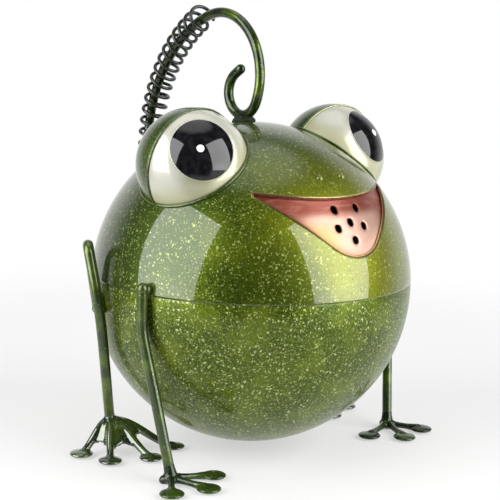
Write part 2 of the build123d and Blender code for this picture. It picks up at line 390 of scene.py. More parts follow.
# shades of the face, sprayed paint and painted shade: centre, full and outer reach, strength, and whether
# both sides have it; the dark spots on one side only are painted shade, the paired one is sprayed
FACE_GLOW, FACE_YELLOW = direction(4, 27) * BALL_R, (0.19, 0.195, 0.005)
DARK_SPRAY_AND_SHADE_SPOTS = [(direction(-33, 5), (0.016, 0.045), 0.5, False),
              (direction(-92, 14), (0.035, 0.070), 0.7, False),
              (direction(88, 36), (0.025, 0.065), 0.6, True)]
CROWN, CROWN_TONE = (0.052, 0.10), (0.035, 0.07, 0.012)


def green_paint(name, deep, mid, bright, fleck, fleck_share=0.55, yellow=0.0, coat=1.0):
    """Airbrushed candy green over a hammered flake base, under a clear coat."""
    material, tree, spot = new_material(name)
    cloud = noise(tree, spot, 45, 3)
    grain = noise(tree, spot, 900, 4)
    x, y, z = split_xyz(tree, spot)
    colour = mix(tree, ramp(tree, grain, 0.40, 0.66), deep, mid)
    colour = tint(tree, ramp(tree, cloud, 0.35, 0.75), 0.45, colour, bright)
    if yellow:
        # the face is sprayed yellower round the nose and the mouth and darker behind the eyes; the dark
        # spots on one side only, on the right cheek and the right flank, are painted shade; it is also
        # darker towards the crown
        colour = tint(tree, within(tree, spot, FACE_GLOW, 0.020, 0.085), yellow, colour, FACE_YELLOW)
        mirror = tree.nodes.new("ShaderNodeCombineXYZ")
        for source, target in zip((maths(tree, "ABSOLUTE", x), y, z), mirror.inputs):
            tree.links.new(source, target)
        for centre, reach, strength, paired in DARK_SPRAY_AND_SHADE_SPOTS:
            near = within(tree, mirror.outputs[0] if paired else spot, centre * BALL_R, *reach)
            colour = tint(tree, near, strength, colour, deep)
        colour = tint(tree, ramp(tree, z, *CROWN), 0.6, colour, CROWN_TONE)
    jitter = node(tree, "ShaderNodeVectorMath", operation="MULTIPLY_ADD")
    jitter.inputs[1].default_value = (0.0022, 0.0022, 0.0022)
    tree.links.new(grain.node.outputs["Color"], jitter.inputs[0])
    tree.links.new(spot, jitter.inputs[2])
    big = speckles(tree, jitter.outputs[0], 2.1 * MM, 0.30, 0.56)
    small = speckles(tree, jitter.outputs[0], 1.15 * MM, 0.10, 0.52, 3.7)
    pits = speckles(tree, jitter.outputs[0], 1.7 * MM, 0.25, 0.55, -5.1)
    colour = tint(tree, pits, 0.55, colour, deep)
    flecks = maths(tree, "MAXIMUM", big, maths(tree, "MULTIPLY", small, 0.8))
    colour = tint(tree, flecks, fleck_share, colour, fleck)
    height = maths(tree, "ADD", maths(tree, "MULTIPLY", grain, 0.5), flecks)
    return surface(material, colour, vary(tree, 0.34, grain, 0.12), height, 0.25, 0.0003, 0.65,
                   coat_weight=coat, coat_roughness=0.03, coat_ior=1.45, specular_ior_level=0.2)


def rod_paint(name, deep, bright, metallic, rough=0.2, coat=0.6, coat_ior=1.5, shaded=None, specular=0.5):
    """Darker green lacquer on rod and feet, thin and patchy, with a few flecks."""
    material, tree, spot = new_material(name)
    patch = noise(tree, spot, 70, 5)
    grain = noise(tree, spot, 1400, 3)
    colour = mix(tree, ramp(tree, patch, 0.38, 0.66), deep, bright)
    if shaded:
        # painted shade: the handle is painted almost black towards its back, round the coil, and low down
        # where it comes close to the ball
        _, y, z = split_xyz(tree, spot)
        colour = tint(tree, ramp(tree, y, *shaded), 0.85, colour, tuple(0.7 * c for c in deep))
        colour = tint(tree, invert(tree, ramp(tree, z, 0.100, 0.116)), 0.85, colour, deep)
    colour = tint(tree, speckles(tree, spot, 1.7 * MM, 0.5, 0.7, 1.3), 0.55, colour, (0.26, 0.34, 0.12))
    return surface(material, colour, vary(tree, rough, grain, 0.2), maths(tree, "ADD", patch, grain),
                   0.3, 0.0002, metallic, coat_weight=coat, coat_roughness=0.05, coat_ior=coat_ior,
                   specular_ior_level=specular)


def copper_paint():
    """Pink copper, with painted shade in deep red along the upper edge, redder to the corners, and an amber
    painted highlight where it meets the lower rim on the frog's right side.
    """
    material, tree, spot = new_material("copper_paint")
    x, _, z = split_xyz(tree, spot)
    brushed = noise(tree, vector(tree, "MULTIPLY", spot, (0.18, 1, 1.6)), 260, 5)
    wavy = maths(tree, "ADD", z, maths(tree, "MULTIPLY", brushed, 0.003))
    # painted shade: deep red towards the upper edge, in place of the dark reflected into the top of the dish
    colour = mix(tree, ramp(tree, wavy, 0.0485, 0.0550), (0.47, 0.29, 0.225), (0.20, 0.042, 0.024))
    wide = maths(tree, "ABSOLUTE", x)
    colour = mix(tree, ramp(tree, wide, 0.018, 0.040), colour, (0.24, 0.055, 0.030))
    # painted highlight: amber low on the frog's right side of the dish
    amber_highlight = maths(tree, "MULTIPLY", ramp(tree, maths(tree, "MULTIPLY", x, -1.0), 0.0, 0.02),
                  invert(tree, ramp(tree, z, 0.040, 0.052)))
    colour = tint(tree, amber_highlight, 0.8, colour, (0.48, 0.24, 0.07))
    colour = tint(tree, ramp(tree, brushed, 0.45, 0.7), 0.2, colour, (0.50, 0.27, 0.21))
    return surface(material, colour, vary(tree, 0.36, brushed, 0.14), brushed, 0.15, 0.0002, 0.65,
                   coat_weight=0.15, coat_roughness=0.06)


def cream_enamel():
    """Pearl cream, a little yellow towards the base of the eye."""
    material, tree, spot = new_material("cream_enamel")
    far = vector(tree, "LENGTH", spot, out="Value")
    mottle = noise(tree, spot, 240, 5)
    yellow = invert(tree, ramp(tree, far, 0.096, 0.109))
    colour = tint(tree, yellow, 0.75, (0.44, 0.44, 0.37), (0.43, 0.42, 0.23))
    colour = tint(tree, ramp(tree, mottle, 0.45, 0.8), 0.25, colour, (0.40, 0.40, 0.31))
    # painted shadow: olive under the pupils; the two eyes mirror each other
    pupil_shadow = within(tree, vector(tree, "ABSOLUTE", spot), (0.0705, 0.0345, 0.0665), 0.003, 0.014)
    colour = tint(tree, pupil_shadow, 0.55, colour, (0.20, 0.20, 0.10))
    return surface(material, colour, vary(tree, 0.30, mottle, 0.1), mottle, 0.12, 0.0002, 0.12,
                   coat_weight=0.9, coat_roughness=0.05)


def gloss(name, colour, rough, spread=0.0, metallic=0.0, coat=1.0):
    """Plain gloss enamel with a faint orange peel and slightly uneven tone."""
    material, tree, spot = new_material(name)
    peel = noise(tree, spot, 300, 3)
    other = tuple(c * (1 + spread) + 0.004 for c in colour)
    return surface(material, mix(tree, ramp(tree, peel, 0.35, 0.7), colour, other),
                   vary(tree, rough, peel, 0.04), peel, 0.05, 0.0002, metallic,
                   coat_weight=coat, coat_roughness=0.03)


def rim_paint(name, upper, lower, tips):
    """Gilding of the mouth's edge: one tone along the top, one below, and one at the corners; the top tone
    is a painted highlight on the outer bead and painted shade on the inner one.
    """
    material, tree, spot = new_material(name)
    x, _, z = split_xyz(tree, spot)
    worn = noise(tree, spot, 500, 4)
    colour = mix(tree, ramp(tree, z, 0.054, 0.058), lower, upper)
    colour = tint(tree, ramp(tree, maths(tree, "ABSOLUTE", x), 0.018, 0.034), 0.8, colour, tips)
    colour = tint(tree, ramp(tree, worn, 0.45, 0.7), 0.4, colour, tuple(0.5 * c for c in lower))
    return surface(material, colour, vary(tree, 0.2, worn, 0.2), worn, 0.3, 0.0001, 0.6)


UPPER = green_paint("upper_green", (0.022, 0.044, 0.001), (0.085, 0.130, 0.003), (0.15, 0.19, 0.004),
                    (0.46, 0.52, 0.16), yellow=0.65)
LOWER = green_paint("lower_green", (0.030, 0.054, 0.002), (0.105, 0.155, 0.005), (0.17, 0.22, 0.012),
                    (0.52, 0.58, 0.24), fleck_share=0.85, coat=0.45)
EYE_GREEN = green_paint("eye_green", (0.020, 0.040, 0.003), (0.055, 0.095, 0.006), (0.10, 0.15, 0.012),
                        (0.34, 0.40, 0.17), fleck_share=0.3)
ROD = rod_paint("rod_green", (0.024, 0.044, 0.007), (0.085, 0.130, 0.012), 0.5)
# the arch gets painted shade towards its back and low down near the ball
ARCH = rod_paint("arch_green", (0.010, 0.024, 0.004), (0.095, 0.145, 0.008), 0.7, shaded=(0.012, 0.048))
# near-black welds: dark weld metal, with painted shade of the crease where the handle meets the ball
CURL = rod_paint("weld_dark_and_crease_shade", (0.004, 0.008, 0.004), (0.012, 0.020, 0.006), 0.1, 0.55, 0.0, specular=0.2)
FOOT = rod_paint("foot_green", (0.008, 0.018, 0.004), (0.040, 0.075, 0.009), 0.5, 0.16, 0.5, specular=0.3)
WEB = rod_paint("web_green", (0.010, 0.020, 0.006), (0.050, 0.085, 0.015), 0.5, 0.16, 1.0, 1.9)
WIRE = rod_paint("wire_green", (0.003, 0.006, 0.004), (0.010, 0.018, 0.008), 0.1, 0.25, 0.25)
COPPER = copper_paint()
RIM_OUT = rim_paint("rim_olive_painted_highlight", (0.40, 0.35, 0.10), (0.12, 0.085, 0.022), (0.075, 0.055, 0.016))
RIM_IN = rim_paint("rim_gilt_painted_shade", (0.13, 0.022, 0.014), (0.46, 0.30, 0.10), (0.20, 0.05, 0.02))
# pale lip for the left eye only: a painted reflection of the cream front on the lip
LIP = gloss("lip_painted_reflection", (0.36, 0.38, 0.20), 0.3, 0.2, 0.4, coat=0.3)
CREAM = cream_enamel()
BLACK = gloss("pupil_black", (0.004, 0.004, 0.005), 0.03, 0.5, coat=0.0)
DOT = gloss("dot_white", (0.85, 0.85, 0.84), 0.3, 0.02)


# --- ball ---
MOUTH_CORNER = (48.6 * MM, 62.8 * MM)
MOUTH_SAG, MOUTH_BLUNT = 3.0 * MM, 2.6 * MM
CHIN_Z, CHIN_R = 28.0 * MM, 27.0 * MM
FILLER_TILT, FILLER_R = 45.0, 24.0 * MM
FILLER_AXIS = Vector((0, math.sin(math.radians(FILLER_TILT)), math.cos(math.radians(FILLER_TILT))))


def mouth_curve():
    """Front-view outline of the mouth as (x, z) points, anticlockwise from the left corner's upper edge."""
    x, z = MOUTH_CORNER
    centre = (0, CHIN_Z + CHIN_R)
    end = z - MOUTH_BLUNT
    reach = math.dist((x, end), centre)
    lean = math.atan2(end - centre[1], x) - math.acos(CHIN_R / reach)
    flank = (CHIN_R * math.cos(lean), centre[1] + CHIN_R * math.sin(lean))
    corners = []
    sag_r = (x * x + MOUTH_SAG ** 2) / (2 * MOUTH_SAG)
    narrow = x - 0.4 * MOUTH_BLUNT
    for i in range(121):
        across = narrow - 2 * narrow * i / 120
        corners.append((across, z - MOUTH_SAG + sag_r - math.sqrt(sag_r ** 2 - across ** 2)))
    for i in range(41):
        corners.append((-x + (x - flank[0]) * i / 40, end + (flank[1] - end) * i / 40))
    for i in range(1, 60):
        angle = math.pi - lean + (math.pi + 2 * lean) * i / 60
        corners.append((CHIN_R * math.cos(angle), centre[1] + CHIN_R * math.sin(angle)))
    for i in range(41):
        corners.append((flank[0] + (x - flank[0]) * i / 40, flank[1] + (end - flank[1]) * i / 40))
    return np.array(corners)


def inset(curve, amount):
    """Moves an anticlockwise outline inwards."""
    ahead = np.roll(curve, -1, 0) - np.roll(curve, 1, 0)
    ahead /= np.linalg.norm(ahead, axis=1)[:, None]
    return curve + np.stack([-ahead[:, 1], ahead[:, 0]], 1) * amount


def inside(curve, x, z):
    """Even-odd test of points against an outline."""
    hit = np.zeros(len(x), bool)
    for (x1, z1), (x2, z2) in zip(curve, np.roll(curve, -1, 0)):
        cross = (z1 > z) != (z2 > z)
        hit ^= cross & (x < (x2 - x1) * (z - z1) / (z2 - z1 + 1e-15) + x1)
    return hit


def nearest(curve, x, z):
    """Nearest point of an outline to each point."""
    best = np.full(len(x), 1e9)
    out = np.zeros((len(x), 2))
    for a, b in zip(curve, np.roll(curve, -1, 0)):
        run = b - a
        share = np.clip(((x - a[0]) * run[0] + (z - a[1]) * run[1]) / (run @ run), 0, 1)
        px, pz = a[0] + share * run[0], a[1] + share * run[1]
        far = np.hypot(px - x, pz - z)
        closer = far < best
        best[closer] = far[closer]
        out[closer] = np.stack([px, pz], 1)[closer]
    return out


MOUTH = mouth_curve()


def shell_mesh(name, radius, low, high, material, cut=False):
    """Part of a thin ball between two heights; cut leaves out the mouth and the filler opening."""
    rows, around = 220, 640
    lift = np.linspace(math.asin(low / radius), math.asin(min(1, high / radius)), rows)
    turn = np.linspace(0, 2 * math.pi, around, endpoint=False)
    grid = np.stack([
        np.outer(np.cos(lift), np.sin(turn)), -np.outer(np.cos(lift), np.cos(turn)),
        np.outer(np.sin(lift), np.ones(around))], -1).reshape(-1, 3) * radius
    index = np.arange(rows * around).reshape(rows, around)
    quads = np.stack([index[:-1], np.roll(index[:-1], -1, 1), np.roll(index[1:], -1, 1), index[1:]], -1)
    quads = quads.reshape(-1, 4)
    if cut:
        front = grid[:, 1] < 0
        gone = front & inside(MOUTH, grid[:, 0], grid[:, 2])
        axis = np.array(FILLER_AXIS)
        along = grid @ axis
        off = np.linalg.norm(grid - along[:, None] * axis, axis=1)
        bore = FILLER_R + 1 * MM
        gone |= (along > 0) & (off < bore)
        quads = quads[gone[quads].sum(1) < 3]
        rim = np.unique(quads[gone[quads].any(1)])
        rim = rim[gone[rim]]
        at_mouth = rim[grid[rim, 1] < 0]
        close = nearest(MOUTH, grid[at_mouth, 0], grid[at_mouth, 2])
        grid[at_mouth, 0], grid[at_mouth, 2] = close[:, 0], close[:, 1]
        grid[at_mouth, 1] = -np.sqrt(radius ** 2 - (close ** 2).sum(1))
        at_bore = rim[grid[rim, 1] > 0]
        outward = grid[at_bore] - along[at_bore, None] * axis
        outward /= np.linalg.norm(outward, axis=1)[:, None]
        grid[at_bore] = axis * math.sqrt(radius ** 2 - bore ** 2) + outward * bore
    used, faces = used_only(quads, len(grid))
    obj = piece(name, [Vector(v) for v in grid[used]], faces, material)
    reshape(obj, lambda mesh: bmesh.ops.remove_doubles(mesh, verts=mesh.verts, dist=0.02 * MM))
    modifier(obj, "SOLIDIFY", thickness=WALL, offset=-1)
    apply_all(obj)
    return dress(obj, material)


def used_only(quads, count):
    """Indices of the points that faces use, and the faces renumbered to them."""
    used = np.unique(quads)
    fresh = -np.ones(count, int)
    fresh[used] = np.arange(len(used))
    return used, fresh[quads].tolist()


def band_faces(rings, count, closed=False):
    """Faces between rings of points that are numbered one ring after the other."""
    faces = []
    for r in range(rings if closed else rings - 1):
        s = (r + 1) % rings
        for i in range(count):
            j = (i + 1) % count
            faces.append([r * count + i, r * count + j, s * count + j, s * count + i])
    return faces


def on_ball(curve, radius):
    return [Vector((x, -math.sqrt(radius ** 2 - x * x - z * z), z)) for x, z in curve]


def build_ball():
    upper = shell_mesh("shell_upper", BALL_R, SEAM, BALL_R, UPPER, cut=True)
    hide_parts("upper_shell")
    lower = shell_mesh("shell_lower", BALL_R - SEAM_STEP, -BALL_R + SEAM_STEP, SEAM + 0.1 * MM, LOWER)
    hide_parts("lower_bowl")
    # rolled hem of the upper half, just below the joint
    ring_r = math.sqrt(BALL_R ** 2 - SEAM ** 2) - 0.50 * MM
    hem = revolve("seam_hem", bead(ring_r, SEAM, 0.42 * MM, 0.42 * MM, 8), Matrix.Identity(4), UPPER, 512,
                  closed=True)


HOLES = [(1.6, 46.0), (1.6, 36.8), (-6.7, 52.8), (9.9, 52.8), (-8.3, 43.4), (11.5, 43.4)]
HOLE_R = 2.1 * MM


def rose_plate():
    """Grid over the mouth, pressed in towards its middle, with round holes left open."""
    cell = 0.45 * MM
    reach_x, low, high = MOUTH_CORNER[0] + 3 * MM, CHIN_Z - 3 * MM, MOUTH_CORNER[1] + 3 * MM
    xs = np.arange(-reach_x, reach_x + cell, cell)
    zs = np.arange(low, high + cell, cell)
    grid_x, grid_z = (g.ravel() for g in np.meshgrid(xs, zs))
    index = np.arange(len(grid_x)).reshape(len(zs), len(xs))
    quads = np.stack([index[:-1, :-1], index[:-1, 1:], index[1:, 1:], index[1:, :-1]], -1).reshape(-1, 4)
    wide = inset(MOUTH, -2.0 * MM)
    keep = inside(wide, grid_x, grid_z)
    close = nearest(MOUTH, grid_x, grid_z)
    edge = np.hypot(close[:, 0] - grid_x, close[:, 1] - grid_z)
    edge[~inside(MOUTH, grid_x, grid_z)] = 0
    hollow = 1.1 * MM + 1.5 * MM * (1 - np.exp(-edge / (2.2 * MM)))
    for hx, hz in HOLES:
        near = np.hypot(grid_x - hx * MM, grid_z - hz * MM)
        rim = (near < HOLE_R + 0.35 * cell) & (near > HOLE_R - 0.62 * cell)
        share = HOLE_R / np.maximum(near, 1e-9)
        grid_x = np.where(rim, hx * MM + (grid_x - hx * MM) * share, grid_x)
        grid_z = np.where(rim, hz * MM + (grid_z - hz * MM) * share, grid_z)
        keep &= near > HOLE_R - 0.62 * cell
        hollow += 0.35 * MM * np.exp(-np.maximum(near - HOLE_R, 0) / (0.5 * MM))
    radius = BALL_R - hollow
    deep = np.sqrt(np.maximum(radius ** 2 - grid_x ** 2 - grid_z ** 2, 1e-8))
    used, faces = used_only(quads[keep[quads].all(1)], len(grid_x))
    plate = piece("rose_plate", [Vector((grid_x[i], -deep[i], grid_z[i])) for i in used], faces, COPPER)
    modifier(plate, "SOLIDIFY", thickness=0.8 * MM, offset=-1)
    apply_all(plate)
    dress(plate, COPPER)
    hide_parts("mouth_rose")


def mouth_rim():
    """Rolled edge of the opening: an olive bead outside with a yellow painted highlight along the top, a
    finer gilt bead inside it with dark red painted shade along the top.
    """
    for name, into, under, radius, paint in (("mouth_rim", 0.15, 0.30, 0.55, RIM_OUT),
                                             ("mouth_seam", 1.0, 0.75, 0.42, RIM_IN)):
        rows = []
        for angle in np.linspace(0, 2 * math.pi, 12, endpoint=False):
            out = (into - radius * math.cos(angle)) * MM
            rows.append(on_ball(inset(MOUTH, out), BALL_R + (radius * math.sin(angle) - under) * MM))
        faces = band_faces(len(rows), len(rows[0]), closed=True)
        rim = fix_normals(piece(name, [v for row in rows for v in row], faces, paint))


def build_filler():
    turned = axis_frame((0, 0, 0), FILLER_AXIS)
    top, lip, depth = 93.6 * MM, 1.4 * MM, 6 * MM
    profile = [(FILLER_R, top - depth), (FILLER_R, top)]
    for degrees in range(180, -91, -15):
        a = math.radians(degrees)
        profile.append((FILLER_R + lip + lip * math.cos(a), top + lip * math.sin(a)))
    profile += [(FILLER_R + 1 * MM, top - lip), (FILLER_R + 1 * MM, top - depth)]
    rim = revolve("filler_collar", profile, turned, UPPER, 160, closed=True)
    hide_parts("filler_rim")


# --- eyes ---
EYE_AT = (53.8 * MM, -10.0 * MM, 73.4 * MM)
EYE_BACK_R, EYE_FRONT_R, EYE_LIP_R = 31.9 * MM, 31.5 * MM, 32.3 * MM
PUPIL_R, PUPIL_RIM, PUPIL_RISE = 17.3 * MM, 25.6 * MM, 5.9 * MM
PUPIL_AIM = {"right": (27.0, 24.0), "left": (21.0, 32.0)}
DOT_AIM = {"right": (31.0, 22.0), "left": (21.0, 31.0)}
DOT_R, DOT_SINK = 2.1 * MM, 0.1 * MM
EYE_SEAM_TURN, EYE_SEAM_TILT = -3.0, -10.0
NOSTRIL_TURN, NOSTRIL_LIFT = 7.3, 46.7
HIDDEN_R = BALL_R - 0.5 * MM


def trim(obj):
    """Cuts away what reaches inside the ball's wall."""
    def cut(mesh):
        buried = [v for v in mesh.verts if (v.co - CENTRE).length < HIDDEN_R]
        bmesh.ops.delete(mesh, geom=buried, context="VERTS")
    return reshape(obj, cut)


def build_eye(name, side):
    centre = Vector((side * EYE_AT[0], EYE_AT[1], EYE_AT[2]))
    seam = axis_frame(centre, direction(side * EYE_SEAM_TURN, EYE_SEAM_TILT))
    back_profile = [(EYE_LIP_R - 0.25 * MM, 0.0), (EYE_LIP_R, -0.25 * MM), (EYE_LIP_R, -1.15 * MM),
                    (EYE_LIP_R - 0.25 * MM, -1.4 * MM)]
    back_profile += [(EYE_BACK_R * math.cos(math.radians(a)), -EYE_BACK_R * math.sin(math.radians(a)))
                     for a in np.linspace(2.6, 90, 80)]
    back_profile[-1] = (0, -EYE_BACK_R)
    back = trim(revolve(f"eye_shell_{name}", back_profile, seam, EYE_GREEN, 160))
    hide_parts(f"eye_back_{name}")
    # the cream front is dished a little round the pupil
    aim = direction(side * PUPIL_AIM[name][0], PUPIL_AIM[name][1])
    rings, steps = 110, 200
    verts = []
    seam_axis = seam.to_3x3() @ Vector((0, 0, 1))
    turned = axis_frame(centre, aim)
    start = math.atan2(PUPIL_R + 0.1 * MM, PUPIL_RIM)
    for i in range(rings + 1):
        for j in range(steps):
            turn = 2 * math.pi * j / steps
            around = turned.to_3x3() @ Vector((math.cos(turn), math.sin(turn), 0))
            # colatitude at which this meridian meets the seam plane
            seam_at = math.atan2(-aim.dot(seam_axis), around.dot(seam_axis)) % math.pi
            angle = start + (seam_at - start) * (i / rings)
            spread = max(0.0, 1 - (angle - start) / math.radians(12))
            radius = EYE_FRONT_R - 0.75 * MM * spread ** 2
            verts.append(centre + (aim * math.cos(angle) + around * math.sin(angle)) * radius)
    front = fix_normals(piece(f"eye_white_{name}", verts, band_faces(rings + 1, steps), CREAM))
    trim(front)
    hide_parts(f"eye_front_{name}")
    # pupil: domed, with a turned-down edge, and a painted dot
    dome_r = (PUPIL_R ** 2 + PUPIL_RISE ** 2) / (2 * PUPIL_RISE)
    middle = PUPIL_RIM + PUPIL_RISE - dome_r
    widest = math.asin(PUPIL_R / dome_r)
    profile = [(dome_r * math.sin(widest * i / 48), middle + dome_r * math.cos(widest * i / 48))
               for i in range(48)]
    profile += [(PUPIL_R - 0.12 * MM, PUPIL_RIM + 0.12 * MM), (PUPIL_R, PUPIL_RIM - 0.25 * MM),
                (PUPIL_R, PUPIL_RIM - 2.2 * MM), (0, PUPIL_RIM - 2.2 * MM)]
    pupil = revolve(f"pupil_dome_{name}", profile, turned, BLACK, 128)
    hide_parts(f"pupil_{name}")
    ring = bead(PUPIL_R + 0.2 * MM, PUPIL_RIM - 0.25 * MM, 0.45 * MM, 0.45 * MM, 10)
    ring = revolve(f"pupil_ring_{name}", ring, turned, CREAM, 160, closed=True)
    dot = [(DOT_R * math.sin(a), dome_r - DOT_SINK + 0.28 * MM * math.cos(a))
           for a in np.linspace(0, math.pi / 2, 9)] + [(DOT_R, dome_r - 0.3 * MM)]
    apex = centre + aim * middle
    dot_aim = direction(side * DOT_AIM[name][0], DOT_AIM[name][1])
    spot = revolve(f"pupil_dot_{name}", dot, axis_frame(apex, dot_aim), DOT, 40)
    # the left eye's lip is pale, a painted reflection; the right eye's lip stays green
    lip = bead(EYE_LIP_R - 0.35 * MM, 0.05 * MM, 0.42 * MM, 0.42 * MM, 10)
    lip = trim(revolve(f"eye_lip_{name}", lip, seam, LIP if side > 0 else EYE_GREEN, 200, closed=True))
    # soldered flange where the eye meets the ball: both are balls, so they meet in a circle
    far = centre.length
    along = (far ** 2 + BALL_R ** 2 - EYE_BACK_R ** 2) / (2 * far)
    ring_r = math.sqrt(BALL_R ** 2 - along ** 2)
    oval = bead(ring_r + 0.55 * MM, along + 0.15 * MM, 0.9 * MM, 0.75 * MM, 14)
    flange = revolve(f"eye_flange_{name}", oval, axis_frame((0, 0, 0), centre), EYE_GREEN, 200, closed=True)


def build_nostrils():
    for name, side in SIDES.items():
        normal = direction(side * NOSTRIL_TURN, NOSTRIL_LIFT)
        profile = [(2.0 * MM * math.sin(math.radians(a)), 1.7 * MM * math.cos(math.radians(a)) - 0.1 * MM)
                   for a in range(0, 91, 10)] + [(2.6 * MM, -0.35 * MM), (0, -0.6 * MM)]
        stud = revolve(f"nostril_stud_{name}", profile, axis_frame(normal * BALL_R, normal), UPPER, 40)
        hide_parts(f"nostril_{name}")


# --- handle and grip ---
ARCH_CENTRE, ARCH_R, ARCH_END = (34.0 * MM, 121.0 * MM), 36.7 * MM, 71.0
CURL_R, CURL_END, TIP_LENGTH = 13.0 * MM, 57.0, 9.5 * MM
TAIL_BEND_R, TAIL_LENGTH = 14.0 * MM, 8.0 * MM
REST_R = BALL_R + ROD_R + 0.15 * MM


def handle_points():
    drop = ARCH_CENTRE[1] - REST_R - CURL_R
    join = 180 + math.degrees(math.asin(drop / (ARCH_R - CURL_R)))
    curl = polar(ARCH_CENTRE, ARCH_R - CURL_R, join).yz
    grip = GRIP_CENTRE.yz
    reach, ball_reach = GRIP_R + TAIL_BEND_R, REST_R + TAIL_BEND_R
    swing = math.acos((ball_reach ** 2 - grip.length_squared - reach ** 2) / (2 * grip.length * reach))
    tail_turn = math.degrees(math.atan2(grip[1], grip[0]) - swing)
    bend = polar(grip, reach, tail_turn).yz
    ball_turn = math.degrees(math.atan2(bend[1], bend[0]))
    slope = math.radians(CURL_END)
    tip = polar(curl, CURL_R, CURL_END)
    straight = Vector((0, -math.sin(slope), math.cos(slope))) * (TIP_LENGTH - 1.4 * ROD_R)
    points = [tip + straight * s for s in (1, 0.75, 0.5, 0.25)]
    points += arc_points(curl, CURL_R, CURL_END, join - 360, 0.8 * MM)
    points += arc_points(ARCH_CENTRE, ARCH_R, join, ARCH_END)[1:]
    points += arc_points(grip, GRIP_R, ARCH_END, tail_turn)[1:]
    points += arc_points(bend, TAIL_BEND_R, tail_turn + 180, ball_turn + 180, 0.8 * MM)[1:]
    slope = math.radians(ball_turn)
    down = Vector((0, math.sin(slope), -math.cos(slope)))
    points += [points[-1] + down * TAIL_LENGTH * s for s in (0.33, 0.66, 1)]
    return points


def build_handle():
    points = handle_points()
    rod = piece("handle_bent_rod", *tube(points, ROD_R - 0.02 * MM, 28), ARCH)
    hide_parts("handle_rod")
    at = min(points[:60], key=lambda p: p.length)
    head = at.normalized()
    lumps = [ball_part(head * (BALL_R + 0.2 * MM), 6.8 * MM, (0.95, 1.2, 0.5), head),
             *(ball_part(head * (BALL_R + rise * MM) + Vector(shift) * MM, size * MM)
               for rise, shift, size in ((1.4, (0, 3.0, -0.4), 4.0), (1.2, (0, -3.8, 0.2), 3.6),
                                         (1.5, (2.6, 0.4, 0), 3.4), (1.5, (-2.6, -0.6, 0), 3.4)))]
    weld = blend_solid("handle_weld_head", lumps, CURL, 0.45 * MM, 5)
    tail = points[-3]
    out = tail.normalized()
    lumps = [ball_part(tail - out * ROD_R + Vector((0, 0, z)) * MM, 3.4 * MM, (1.15, 1.3, 0.6), out)
             for z in (-4, -1, 2, 5)]
    lumps += [ball_part(tail - out * 1.4 * MM + Vector((s * 2.6, 0, z)) * MM, 1.9 * MM)
              for s in (-1, 1) for z in (-4, -1.2, 1.8, 4.6)]
    weld = blend_solid("handle_weld_back", lumps, CURL, 0.45 * MM, 5)


COIL_R, WIRE_R = 7.1 * MM, 1.1 * MM
COIL_ARC_R, COIL_UPPER_R = 86.8 * MM, 99.5 * MM
COIL_START, COIL_BEND, COIL_END = -21.0, 14.0, 68.0
COIL_TURNS, COIL_LAST = 19, 112.0
COIL_SPREAD = 0.09


def coil_middle(degrees):
    """Middle line of the coil and its outward direction, at an angle about the grip's centre."""
    grip = GRIP_CENTRE.yz
    if degrees < COIL_BEND:
        return polar(grip, COIL_ARC_R, degrees), polar((0, 0), 1, degrees)
    upper = polar(grip, COIL_ARC_R - COIL_UPPER_R, COIL_BEND)
    shift = COIL_UPPER_R - COIL_ARC_R
    swing = math.radians(degrees - COIL_BEND)
    turned = degrees - math.degrees(math.asin(shift * math.sin(swing) / COIL_UPPER_R))
    return polar(upper.yz, COIL_UPPER_R, turned), polar((0, 0), 1, turned)


def build_grip():
    """One wire wound in open turns round the handle's rear arc."""
    points = []
    per_turn = 40
    for i in range(COIL_TURNS * per_turn + 1):
        turn = 2 * math.pi * (i / per_turn) + math.radians(COIL_LAST)
        # the turns lie a little closer towards the top
        down = 1 - i / (COIL_TURNS * per_turn)
        down = down * (1 - COIL_SPREAD) + COIL_SPREAD * down ** 2
        middle, outward = coil_middle(COIL_END + (COIL_START - COIL_END) * down)
        points.append(middle + (outward * math.cos(turn) + Vector((1, 0, 0)) * math.sin(turn)) * COIL_R)
    coil = piece("grip_coil", *tube(points, WIRE_R - 0.02 * MM, 14), WIRE, body="grip")
    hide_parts("grip_spring")


# --- legs and feet, left side; the right side is their mirror image ---
FRONT_LEG = [(95.75, -22.0, 13.0), (95.75, -22.0, -14.0), (85.3, -36.4, -93.5)]
REAR_LEG = [(95.6, 20.8, -9.0), (95.3, 31.5, 26.3), (101.8, 22.0, 27.3), (101.0, 10.5, -8.0),
            (78.5, 32.4, -80.5)]
FRONT_TOES = [(97.8, -53.9), (77.0, -59.3), (61.4, -44.4)]
FRONT_HEEL = (90.5, -33.5)
REAR_TOES = [(100.3, 29.3), (93.8, 9.4), (71.9, 0.2), (48.9, 9.4)]
WEB_REACH = (0.74, 0.80, 0.76, 0.56)
PAD_R = 7.2 * MM
LEG_BEND, HAIRPIN_BEND = 60 * MM, 5.6 * MM
FLOOR_Z = GROUND - CENTRE.z


def flip(points, side):
    return [Vector((side * p[0], *p[1:])) * MM for p in points]


def pad_part(tip):
    middle = Vector((tip.x, tip.y, FLOOR_Z + 1.75 * MM))
    return ball_part(middle, PAD_R - 0.15 * MM, (1.0, 1.0, 0.26), (0, 0, 1))


def flatten(obj):
    """Nothing goes below the ground; what was lower is pressed flat on it."""
    for vertex in obj.data.vertices:
        vertex.co.z = max(vertex.co.z, GROUND)


def leg_rod(which, name, path):
    leg = piece(f"{which}_leg_rod_{name}", *tube(path, ROD_R - 0.02 * MM, 26), ROD)
    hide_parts(f"{which}_leg_{name}")


def leg_weld(which, name, lumps):
    weld = blend_solid(f"{which}_leg_weld_{name}", lumps, ROD, 0.4 * MM, 4)


def foot_cast(which, name, parts, material):
    foot = blend_solid(f"{which}_foot_cast_{name}", parts, material, 0.5 * MM, 7)
    flatten(foot)
    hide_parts(f"{which}_foot_{name}")


